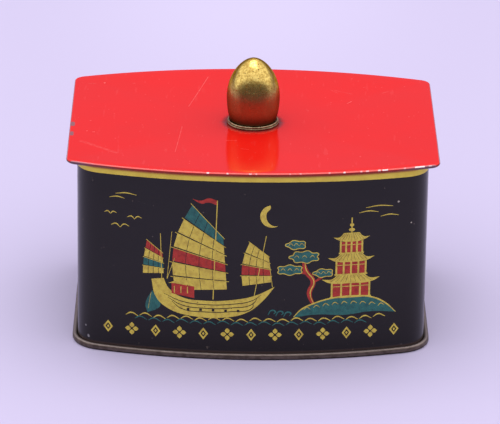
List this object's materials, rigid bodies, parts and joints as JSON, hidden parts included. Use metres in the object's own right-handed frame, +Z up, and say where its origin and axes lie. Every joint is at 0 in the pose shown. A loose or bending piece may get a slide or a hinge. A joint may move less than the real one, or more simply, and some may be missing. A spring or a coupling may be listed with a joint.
{
  "type": "lidded tin",
  "caption": "Small sheet-metal tin with bowed front and back walls, an overhanging, slightly dished lift-off lid and an egg-shaped knob.",
  "frame": {"origin": "on the surface the tin stands on, under the middle of the body", "axes": "+Z up; +X along the tin's long side; the printed front faces -Y"},
  "size_m": [0.124, 0.1006, 0.0902],
  "materials": {
    "black_lacquer": "glossy black printed lacquer with a gold band, a little worn",
    "gold_print": "flat gold ink of the printed picture, a little worn",
    "teal_print": "dark teal ink of the printed picture",
    "red_print": "dark red ink of the printed picture",
    "brown_tinplate": "brown lacquered tinplate, dull, rubbed bright along the seam",
    "red_lacquer": "glossy red lacquer with fine scratches and chipped edges",
    "gold_tinplate": "gold-lacquered tinplate",
    "old_brass": "polished brass, tarnished and pitted",
    "plain_steel": "plain steel, dull"
  },
  "bodies": {
    "tin_body": {"body_wall": "black_lacquer", "bottom_panel": "brown_tinplate"},
    "lid": {"lid_plate": "red_lacquer", "lid_collar": "gold_tinplate", "knob_shell": "old_brass", "knob_foot": "old_brass", "knob_stud": "plain_steel", "knob_washer": "plain_steel", "knob_nut": "plain_steel"}
  },
  "joints": [
    {"name": "lid_lift", "type": "slide", "parent": "tin_body", "child": "lid", "axis": [0, 0, 1], "range_m": [0, 0.045]}
  ]
}
